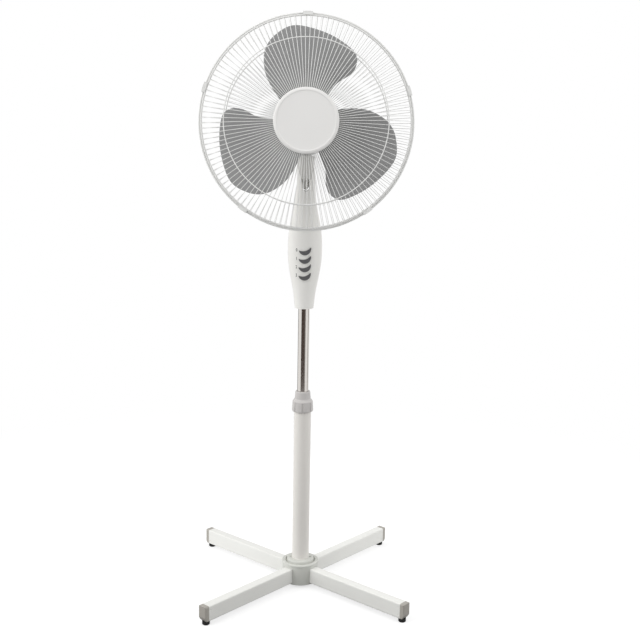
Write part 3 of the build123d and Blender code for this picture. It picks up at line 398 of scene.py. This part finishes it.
class FAN_OT_guards(Operator):
    """Makes both guards with round wires and rings"""

    bl_idname = "fan.guards"
    bl_label = "Guards"

    def execute(self, context):
        sizes, tints = settings()
        enamel = finish("guard_enamel", tints.guard, 0.32, mottle=0.05, grain=700.0, bump=0.02)
        for name, corners, bends, rings, rim, rim_size, first in (
            ("rear_guard", REAR_CORNERS, REAR_BENDS, REAR_RINGS, REAR_RIM, sizes.rear_rim, REAR_STEP),
            ("front_guard", FRONT_CORNERS, FRONT_BENDS, FRONT_RINGS, FRONT_RIM, sizes.front_rim, FRONT_STEP),
        ):
            path = rounded(corners, bends) * MM
            hoops = [hoop(radius * MM, forward * MM, sizes.ring) for radius, forward in rings]
            hoops.append(hoop(rim[0] * MM, rim[1] * MM, rim_size, steps=240))
            for piece, node, (points, faces) in (
                (f"{name}_spokes", f"{name}_wires", spokes(path, sizes.wire, sizes.wire_count, first)),
                (f"{name}_hoops", f"{name}_rings", together(hoops)),
            ):
                put_piece(piece, in_head(points), faces, enamel, "head", [node], crease=60)
        return {"FINISHED"}


# How far forward the badge's face is, (radius, distance behind the face) round its outline, and the bend at
# each corner between its ends, in millimetres
BADGE_FACE = 167.6
BADGE_CORNERS = [
    (0.5, 5), (64, 5), (65.8, 4.4), (65.8, 3.0), (63.2, 0.7), (59.6, 0), (58.2, 0.9), (40, 0.7), (0.5, 0.4),
]
BADGE_BENDS = (0.6, 0.8, 1.4, 2.4, 0.8, 0.8, 10.0)


class FAN_OT_badge(Operator):
    """Makes the plain round plate at the middle of the front guard"""

    bl_idname = "fan.badge"
    bl_label = "Badge"

    def execute(self, context):
        plastic = finish("badge_plastic", settings()[1].badge, 0.38, mottle=0.02, grain=1200.0, bump=0.03)
        corners = [(radius, BADGE_FACE - behind) for radius, behind in BADGE_CORNERS]
        points, faces = turned(rounded(corners, BADGE_BENDS, 6) * MM, 160)
        points = in_head(points)
        put_piece("front_badge", points, faces, plastic, "head", ["guard_badge"], crease=50)
        return {"FINISHED"}


# ---- impeller ---------------------------------------------------------------------------------

# (radius in millimetres, angle in degrees) round one blade, seen from the front
BLADE_OUTLINE = [
    (60, 53), (101, 52), (134, 47.5), (158.5, 49.5), (173.5, 57), (183.5, 76), (195, 96), (185.5, 109),
    (166.5, 119.5), (134, 128.5), (101, 134.8), (60, 141),
]

# (across, up) corners of the blade's foot inside the hub, and of the point that its rings shrink to, in
# millimetres
BLADE_ROOT = [(-14.0, 22.0), (14.0, 22.0)]
BLADE_MIDDLE = (0.0, 112.0)

# Where each blade stands, and how far all of them stand round from their solids, in degrees, anticlockwise as
# seen from the front
BLADE_BEARINGS = (0, 120, 240)
BLADE_TURN = 1.1

# How far forward the blade's surface is without its slope and hollow, the distance across at which the hollow
# ends, and (height, slope, hollow) of three sections, in millimetres but for the slope
BLADE_FORWARD = 120.0
BLADE_REACH = 104.0
BLADE_SECTIONS = [(24.0, 0.60, 6.0), (110.0, 0.20, 8.0), (200.0, 0.08, 8.0)]

# The innermost ring's share of the way to the outline, and the power that rounds the blade's edge
BLADE_INNERMOST = 0.04
BLADE_EDGE = 12

# (radius, forward) round the hub's section, and the bend at each corner between its ends, in millimetres
HUB_CORNERS = [
    (4.05, 92), (9, 92), (9, 132), (27, 132), (27, 96), (30, 96), (31, 102), (31, 130), (28, 135),
    (4.05, 135),
]
HUB_BENDS = (1, 2, 2, 0.6, 0.6, 2, 3, 3)


def closed_curve(corners, count):
    """Points on a smooth closed curve through corners.

    It is a Catmull-Rom spline: each span is a cubic of its two corners and the two beside them.
    """
    spans = len(corners)
    where = np.linspace(0, spans, count, endpoint=False)
    span = where.astype(int)
    t = (where - span)[:, None]
    a, b, c, d = (corners[(span + k) % spans] for k in (-1, 0, 1, 2))
    return 0.5 * (2 * b + (c - a) * t + (2 * a - 5 * b + 4 * c - d) * t**2 + (3 * b - a - 3 * c + d) * t**3)


def blade_depth(across, up):
    """How far forward the blade's middle surface is, in millimetres, at a place on the front view.

    The pitch slope and the hollow are parabolas through the three section heights. The surface leans back
    by the slope times the distance across, and its middle is hollow towards the front.
    """
    heights, slopes, hollows = np.array(BLADE_SECTIONS).T
    slope = np.polyval(np.polyfit(heights, slopes, 2), up)
    hollow = np.polyval(np.polyfit(heights, hollows, 2), up)
    return BLADE_FORWARD - slope * across - hollow * (1 - (across / BLADE_REACH) ** 2)


def blade_shell(skin, rows=12, columns=144):
    """One closed blade: rings shrunk from the outline towards a middle point, a front and a back skin.

    The rings crowd towards the outline as a sine does near its top. The skins part by the thickness times
    the square root of one less a high power of the ring's share of the outline, so they meet along its edge.
    """
    radius, angle = np.array(BLADE_OUTLINE).T
    corners = np.stack([radius * np.cos(np.radians(angle)), radius * np.sin(np.radians(angle))], -1)
    outline = closed_curve(np.concatenate([corners, BLADE_ROOT]), columns)
    middle = np.array(BLADE_MIDDLE)
    share = np.sin(np.linspace(BLADE_INNERMOST, 1, rows) * pi / 2)[:, None, None]
    flat = middle + share * (outline[None] - middle)
    depth = blade_depth(flat[..., 0], flat[..., 1])
    half = skin / MM / 2 * np.sqrt(np.clip(1 - share[..., 0] ** BLADE_EDGE, 0, 1))
    front = np.stack([flat[..., 0], -(depth + half), flat[..., 1]], -1)
    back = np.stack([flat[..., 0], -(depth - half), flat[..., 1]], -1)[-2::-1]
    points = np.concatenate([front, back]).reshape(-1, 3) * MM
    faces = grid_faces(2 * rows - 1, columns)
    last = (2 * rows - 2) * columns
    return points, [*faces, list(range(columns)), list(range(last, last + columns))]


class FAN_OT_impeller(Operator):
    """Makes the three blades and their hub"""

    bl_idname = "fan.impeller"
    bl_label = "Impeller"

    def execute(self, context):
        sizes, tints = settings()
        plastic = finish("blade_plastic", tints.blade, 0.34, mottle=0.03, grain=500.0, bump=0.02)
        points, faces = blade_shell(sizes.blade_skin)
        parts = []
        for bearing in BLADE_BEARINGS:
            spin = Matrix.Rotation(radians(-bearing - BLADE_TURN), 3, "Y")
            parts.append((points @ np.array(spin).T, faces))
        parts.append(turned(rounded(HUB_CORNERS, HUB_BENDS) * MM, 96, is_ring=True))
        points, faces = together(parts)
        points = in_head(points)
        put_piece("impeller", points, faces, plastic, "fan", ["fan_blades"], crease=35)
        return {"FINISHED"}


# ---- control housing --------------------------------------------------------------------------

# The heights of the buttons in millimetres, from the top one down
BUTTON_HEIGHTS = [773.0 - 18.4 * i for i in range(4)]

# How many times a number's height its font's size is
LETTER_SIZE = 1.4

# The numbers are bold and narrow: how far each stroke is widened, and the share of the letter's own width.
NUMBER_STROKE = 0.15 * MM
NUMBER_WIDTH = 0.72

# A number's place across and along Y and how far it stands proud of the housing, in metres, and how far it is
# below its button's height, in millimetres
NUMBER_PLACE = (-17.6 * MM, -40 * MM)
NUMBER_PROUD = 0.00008
NUMBER_DROP = 3.0


def shrunk_onto(piece, target, gap):
    """Presses a thin mesh onto a CAD node from the front, so that it lies a small gap proud of it."""
    press = piece.modifiers.new("press", "SHRINKWRAP")
    press.wrap_method = "PROJECT"
    press.use_project_y = True
    press.use_positive_direction = press.use_negative_direction = True
    press.target = target
    press.offset = gap
    press.wrap_mode = "ABOVE_SURFACE"
    bpy.context.view_layer.update()
    pressed = bpy.data.meshes.new_from_object(piece.evaluated_get(bpy.context.evaluated_depsgraph_get()))
    piece.modifiers.clear()
    piece.data = pressed


class FAN_OT_numbers(Operator):
    """Prints a plain number beside each button"""

    bl_idname = "fan.numbers"
    bl_label = "Numbers"

    def execute(self, context):
        sizes, tints = settings()
        ink = finish("printed_ink", tints.marking, 0.5, mottle=0.1, grain=2000.0, bump=0.0)
        for i, height in enumerate(BUTTON_HEIGHTS):
            words = bpy.data.curves.new(f"number_{i}_outline", "FONT")
            words.body = str(i)
            words.size = sizes.digit * LETTER_SIZE
            words.align_x, words.align_y = "CENTER", "CENTER"
            words.resolution_u = 6
            words.offset = NUMBER_STROKE
            source = bpy.data.objects.new(f"number_{i}_source", words)
            context.scene.collection.objects.link(source)
            context.view_layer.update()
            mesh = bpy.data.meshes.new_from_object(source.evaluated_get(context.evaluated_depsgraph_get()))
            bpy.data.objects.remove(source)
            narrow = Matrix.Diagonal((NUMBER_WIDTH, 1.0, 1.0, 1.0))
            place = Matrix.Translation((*NUMBER_PLACE, (height - NUMBER_DROP) * MM))
            mesh.transform(place @ Matrix.Rotation(pi / 2, 4, "X") @ narrow)
            work = bmesh.new()
            work.from_mesh(mesh)
            bmesh.ops.triangulate(work, faces=work.faces)
            bmesh.ops.subdivide_edges(work, edges=work.edges, cuts=1)
            work.to_mesh(mesh)
            work.free()
            mesh.materials.clear()
            mesh.materials.append(ink)
            piece = bpy.data.objects.new(f"number_{i}", mesh)
            context.scene.collection.objects.link(piece)
            shrunk_onto(piece, NODES["control_housing"], NUMBER_PROUD)
            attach(piece, "mast")
        return {"FINISHED"}


# ---- finishes of the CAD pieces ---------------------------------------------------------------

# Colours of the pieces behind and inside, in linear light
NYLON = (0.55, 0.54, 0.51)
DARK_PLASTIC = (0.045, 0.045, 0.047)
STEEL = (0.55, 0.54, 0.52)
ALLOY = (0.42, 0.42, 0.43)
LAMINATION = (0.28, 0.27, 0.26)
COPPER = (0.45, 0.16, 0.07)
BRONZE = (0.50, 0.30, 0.14)
FILM = (0.30, 0.29, 0.27)


class FAN_OT_finishes(Operator):
    """Gives each CAD piece its finish"""

    bl_idname = "fan.finishes"
    bl_label = "Finishes"

    def execute(self, context):
        tints = settings()[1]
        for material, names in (
            (finish("leg_powder_coat", tints.leg, 0.42, mottle=0.05, grain=1300.0, bump=0.18),
             ["leg_front_left", "leg_front_right", "leg_rear_left", "leg_rear_right"]),
            (finish("tube_powder_coat", tints.tube, 0.36, mottle=0.04, grain=1300.0, bump=0.12),
             ["outer_tube"]),
            (finish("chrome_plate", tints.chrome, 0.12, mottle=0.03, grain=300.0, bump=0.004,
                    stretch=(1, 1, 0.15), metallic=1.0, wear=0.03),
             ["inner_tube"]),
            (finish("housing_plastic", tints.housing, 0.36, mottle=0.03, grain=1800.0, bump=0.05),
             ["control_housing", "housing_cover"]),
            (finish("lock_plastic", tints.lock, 0.40, mottle=0.04, grain=1500.0, bump=0.06),
             ["lock_nut"]),
            (finish("hub_plastic", tints.hub, 0.42, mottle=0.05, grain=1200.0, bump=0.10),
             ["base_hub"]),
            (finish("cap_plastic", tints.cap, 0.48, mottle=0.06, grain=1200.0, bump=0.10),
             ["leg_cap_front_left", "leg_cap_front_right", "leg_cap_rear_left", "leg_cap_rear_right"]),
            (finish("neck_plastic", tints.neck, 0.40, mottle=0.04, grain=1500.0, bump=0.06),
             ["neck"]),
            (finish("motor_plastic", tints.neck, 0.42, mottle=0.04, grain=1500.0, bump=0.06),
             ["motor_front_cover", "motor_rear_cover"]),
            (finish("clip_plastic", tints.guard, 0.36, mottle=0.04, grain=1200.0, bump=0.04),
             ["guard_clips"]),
            (finish("button_plastic", tints.button, 0.36, mottle=0.05, grain=1500.0, bump=0.05),
             [f"button_{i}" for i in range(4)]),
            (finish("foot_rubber", tints.rubber, 0.75, mottle=0.15, grain=800.0, bump=0.20),
             ["rubber_feet"]),
            (finish("nylon", NYLON, 0.45, mottle=0.05, grain=900.0, bump=0.05),
             ["collet", "tube_bush", "tilt_washers", "swivel_washer", "tube_plug"]),
            (finish("dark_plastic", DARK_PLASTIC, 0.42, mottle=0.10, grain=1200.0, bump=0.08),
             ["switch_block", "gearbox", "spinner_nut", "guard_nut", "oscillation_knob", "cord_gland"]),
            (finish("zinc_steel", STEEL, 0.30, mottle=0.12, grain=600.0, bump=0.04, metallic=1.0),
             ["leg_screws", "base_bolt", "tube_screw", "housing_screws", "tilt_bolt", "tilt_nut",
              "cover_screws", "motor_shaft", "drive_pin", "swivel_bracket"]),
            (finish("cast_alloy", ALLOY, 0.50, mottle=0.15, grain=250.0, bump=0.25, metallic=1.0),
             ["motor_front_end", "motor_rear_end"]),
            (finish("lamination_steel", LAMINATION, 0.45, mottle=0.15, grain=400.0, bump=0.3,
                    stretch=(0.05, 8, 0.05), metallic=1.0),
             ["stator", "rotor"]),
            (finish("copper_winding", COPPER, 0.35, mottle=0.25, grain=500.0, bump=0.5, metallic=1.0),
             ["stator_coils"]),
            (finish("bronze", BRONZE, 0.40, mottle=0.15, grain=300.0, bump=0.1, metallic=1.0),
             ["shaft_bearings"]),
            (finish("capacitor_film", FILM, 0.35, mottle=0.08, grain=700.0, bump=0.04),
             ["capacitor"]),
            (finish("guard_enamel", tints.guard, 0.32, mottle=0.05, grain=700.0, bump=0.02),
             ["rear_guard_plate"]),
        ):
            paint_nodes(material, *names)
        return {"FINISHED"}


# ---- studio -----------------------------------------------------------------------------------

# The camera's place, how far it is turned to the right, down and over, and its sensor's width in millimetres
CAMERA_PLACE = Vector((21.4, -2324.7, 1063.9)) * MM
CAMERA_YAW, CAMERA_PITCH, CAMERA_ROLL = radians(0.345), radians(10.978), radians(1.024)
CAMERA_SENSOR = 36.0

# The direction of each lamp from the fan, and how wide each looks in degrees
LEFT_LAMP = (-0.85, -0.25, 0.45)
RIGHT_LAMP = (0.85, -0.25, 0.45)
TOP_LAMP = (0.05, -0.30, 0.95)
SIDE_SPREAD = 50.0
TOP_SPREAD = 70.0

# The name of each screen, its first and last bearing in degrees from the front towards the right, and its
# colour
SCREENS = (
    ("screen_front", -49, 21, (0.085, 0.066, 0.057)),
    ("screen_front_edge", 21, 40, (0.26, 0.24, 0.23)),
    ("screen_right", 92, 112, (0.42, 0.40, 0.39)),
    ("screen_left", -178, -134, (0.16, 0.15, 0.15)),
)


def seen_directly(tree):
    """A value of 1 for camera, glossy and transmission rays, and 0 for the rays that light the object."""
    path = tree.nodes.new("ShaderNodeLightPath")
    value = path.outputs["Is Camera Ray"]
    for other in ("Is Glossy Ray", "Is Transmission Ray"):
        most = tree.nodes.new("ShaderNodeMath")
        most.operation = "MAXIMUM"
        tree.links.new(value, most.inputs[0])
        tree.links.new(path.outputs[other], most.inputs[1])
        value = most.outputs[0]
    return value


def lamp(name, towards, strength, spread):
    """A soft lamp so far off that it lights the whole height evenly, in the given direction from the fan."""
    light = bpy.data.lights.new(name, "SUN")
    light.energy = strength
    light.angle = radians(spread)
    made = bpy.data.objects.new(name, light)
    made.rotation_euler = (-Vector(towards)).to_track_quat("-Z", "Y").to_euler()
    made.visible_glossy = False
    bpy.context.scene.collection.objects.link(made)


def glow(name, tint):
    """A material that shines evenly in one colour."""
    made = bpy.data.materials.new(name)
    made.use_nodes = True
    shine = made.node_tree.nodes.new("ShaderNodeEmission")
    shine.inputs["Color"].default_value = (*tint, 1.0)
    made.node_tree.links.new(shine.outputs[0], made.node_tree.nodes["Material Output"].inputs["Surface"])
    return made


def screen(name, tint, first, last, radius=1.5, foot=0.01, top=0.76, steps=24):
    """An upright arc of a screen round the fan, seen only in reflections.

    Its points stand on a circle about the pole, from one bearing to another, in degrees from the front.
    """
    bearing = np.radians(np.linspace(first, last, steps))
    lower = np.stack([radius * np.sin(bearing), -radius * np.cos(bearing), foot + 0 * bearing], -1)
    upper = lower + [0, 0, top - foot]
    mesh = bpy.data.meshes.new(name)
    mesh.from_pydata(np.concatenate([lower, upper]).tolist(), [], grid_faces(2, steps, close_columns=False))
    mesh.materials.append(glow(name, tint))
    made = bpy.data.objects.new(name, mesh)
    bpy.context.scene.collection.objects.link(made)
    made.visible_camera = made.visible_diffuse = made.visible_shadow = made.visible_transmission = False


# The floor's tint, half its width, the distances between which it fades to white, and the share and strength
# of the white light that is mixed into it near the fan
FLOOR_TINT = 0.64
FLOOR_REACH = 12.0
FLOOR_FADE = (0.45, 1.5)
FLOOR_LIFT_SHARE = 0.35
FLOOR_LIFT = 1.9

# A dark oval patch of the floor before the base, which shows only in the light that the floor gives back.
# Distances from its middle are taken after its width is squeezed, and its edge fades between the two reaches.
PATCH_SQUEEZE = (0.6, 1.0, 1.0)
PATCH_PLACE = (0.12, -0.48, 0.0)
PATCH_TINT = 0.03
PATCH_REACH = (0.35, 0.60)


def floor_material():
    """A pale floor that keeps the object's shadow near it and blends into the white ground further out.

    The light that the floor gives back to the base is less over the dark patch.
    """
    made = bpy.data.materials.new("studio_floor")
    made.use_nodes = True
    tree = made.node_tree
    add, link = tree.nodes.new, tree.links.new
    shader, out = tree.nodes["Principled BSDF"], tree.nodes["Material Output"]
    shader.inputs["Base Color"].default_value = (FLOOR_TINT, FLOOR_TINT, FLOOR_TINT, 1.0)
    shader.inputs["Roughness"].default_value = 0.9
    shader.inputs["Specular IOR Level"].default_value = 0.0
    where, far, ramp = add("ShaderNodeTexCoord"), add("ShaderNodeVectorMath"), add("ShaderNodeMapRange")
    squeeze, beside = add("ShaderNodeVectorMath"), add("ShaderNodeVectorMath")
    edge, bounce = add("ShaderNodeMapRange"), add("ShaderNodeBsdfDiffuse")
    squeeze.operation, beside.operation = "MULTIPLY", "DISTANCE"
    squeeze.inputs[1].default_value = PATCH_SQUEEZE
    beside.inputs[1].default_value = PATCH_PLACE
    edge.interpolation_type = "SMOOTHSTEP"
    edge.inputs["From Min"].default_value, edge.inputs["From Max"].default_value = PATCH_REACH
    edge.inputs["To Min"].default_value, edge.inputs["To Max"].default_value = PATCH_TINT, FLOOR_TINT
    link(where.outputs["Object"], squeeze.inputs[0])
    link(squeeze.outputs[0], beside.inputs[0])
    link(beside.outputs["Value"], edge.inputs["Value"])
    link(edge.outputs["Result"], bounce.inputs["Color"])
    far.operation = "LENGTH"
    ramp.interpolation_type = "SMOOTHSTEP"
    ramp.inputs["From Min"].default_value, ramp.inputs["From Max"].default_value = FLOOR_FADE
    link(where.outputs["Object"], far.inputs[0])
    link(far.outputs["Value"], ramp.inputs["Value"])
    white, lift = add("ShaderNodeEmission"), add("ShaderNodeEmission")
    near, whole, gate = add("ShaderNodeMixShader"), add("ShaderNodeMixShader"), add("ShaderNodeMixShader")
    lift.inputs["Strength"].default_value = FLOOR_LIFT
    near.inputs["Fac"].default_value = FLOOR_LIFT_SHARE
    link(shader.outputs[0], near.inputs[1])
    link(lift.outputs[0], near.inputs[2])
    link(ramp.outputs["Result"], whole.inputs["Fac"])
    link(near.outputs[0], whole.inputs[1])
    link(white.outputs[0], whole.inputs[2])
    link(seen_directly(tree), gate.inputs["Fac"])
    link(bounce.outputs[0], gate.inputs[1])
    link(whole.outputs[0], gate.inputs[2])
    link(gate.outputs[0], out.inputs["Surface"])
    return made


def flat_sheet(name, corners, material):
    """A flat four-sided sheet of the studio."""
    mesh = bpy.data.meshes.new(name)
    mesh.from_pydata(corners, [], [(0, 1, 2, 3)])
    mesh.materials.append(material)
    sheet = bpy.data.objects.new(name, mesh)
    bpy.context.scene.collection.objects.link(sheet)


class FAN_OT_studio(Operator):
    """Sets up the camera, the floor, the white ground and the lamps"""

    bl_idname = "fan.studio"
    bl_label = "Studio"

    def execute(self, context):
        values = context.scene.fan_stage
        scene = context.scene
        flat = cos(CAMERA_PITCH)
        forward = Vector((sin(CAMERA_YAW) * flat, cos(CAMERA_YAW) * flat, -sin(CAMERA_PITCH)))
        across = Vector((cos(CAMERA_YAW), -sin(CAMERA_YAW), 0.0))
        upwards = across.cross(forward)
        right = across * cos(CAMERA_ROLL) + upwards * sin(CAMERA_ROLL)
        upwards = upwards * cos(CAMERA_ROLL) - across * sin(CAMERA_ROLL)
        camera = bpy.data.objects.new("camera", bpy.data.cameras.new("camera"))
        camera.data.sensor_width = CAMERA_SENSOR
        camera.data.lens = values.lens
        camera.matrix_world = Matrix.LocRotScale(
            CAMERA_PLACE, Matrix((right, upwards, -forward)).transposed().to_quaternion(), None
        )
        scene.collection.objects.link(camera)
        scene.camera = camera

        corners = [(x * FLOOR_REACH, y * FLOOR_REACH, 0) for x, y in ((-1, -1), (1, -1), (1, 1), (-1, 1))]
        flat_sheet("studio_floor", corners, floor_material())
        for name, first, last, tint in SCREENS:
            screen(name, tint, first, last)

        world = bpy.data.worlds.new("studio")
        world.use_nodes = True
        ground = world.node_tree.nodes["Background"]
        ground.inputs["Color"].default_value = (1.0, 1.0, 1.0, 1.0)
        level = world.node_tree.nodes.new("ShaderNodeMapRange")
        level.inputs["To Min"].default_value = values.ambient
        level.inputs["To Max"].default_value = 1.0
        world.node_tree.links.new(seen_directly(world.node_tree), level.inputs["Value"])
        world.node_tree.links.new(level.outputs["Result"], ground.inputs["Strength"])
        scene.world = world

        lamp("left_lamp", LEFT_LAMP, values.left, SIDE_SPREAD)
        lamp("right_lamp", RIGHT_LAMP, values.right, SIDE_SPREAD)
        lamp("top_lamp", TOP_LAMP, values.top, TOP_SPREAD)
        scene.view_settings.view_transform = "Standard"
        return {"FINISHED"}


# ---- panel and run ----------------------------------------------------------------------------


class FAN_PT_panel(Panel):
    """Lists the fan's pieces, sizes and colours"""

    bl_idname = "FAN_PT_panel"
    bl_label = "Pedestal Fan"
    bl_space_type = "VIEW_3D"
    bl_region_type = "UI"
    bl_category = "Fan"

    def draw(self, context):
        layout = self.layout
        for step in STEPS:
            layout.operator(step.bl_idname)
        for group in (context.scene.fan_sizes, context.scene.fan_colours, context.scene.fan_stage):
            box = layout.box()
            for name in group.__annotations__:
                box.prop(group, name)


GROUPS = (FanSizes, FanColours, FanStage)
STEPS = (FAN_OT_studio, FAN_OT_finishes, FAN_OT_guards, FAN_OT_badge, FAN_OT_impeller, FAN_OT_numbers)


def register():
    """Registers the settings, the operators and the panel."""
    for kind in (*GROUPS, *STEPS, FAN_PT_panel):
        bpy.utils.register_class(kind)
    bpy.types.Scene.fan_sizes = PointerProperty(type=FanSizes)
    bpy.types.Scene.fan_colours = PointerProperty(type=FanColours)
    bpy.types.Scene.fan_stage = PointerProperty(type=FanStage)


def unregister():
    """Takes the settings, the operators and the panel out again."""
    del bpy.types.Scene.fan_stage
    del bpy.types.Scene.fan_colours
    del bpy.types.Scene.fan_sizes
    for kind in reversed((*GROUPS, *STEPS, FAN_PT_panel)):
        bpy.utils.unregister_class(kind)


def main():
    """Builds every piece in order."""
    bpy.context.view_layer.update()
    register()
    for step in STEPS:
        space, name = step.bl_idname.split(".")
        getattr(getattr(bpy.ops, space), name)()


if __name__ == "__main__":
    main()
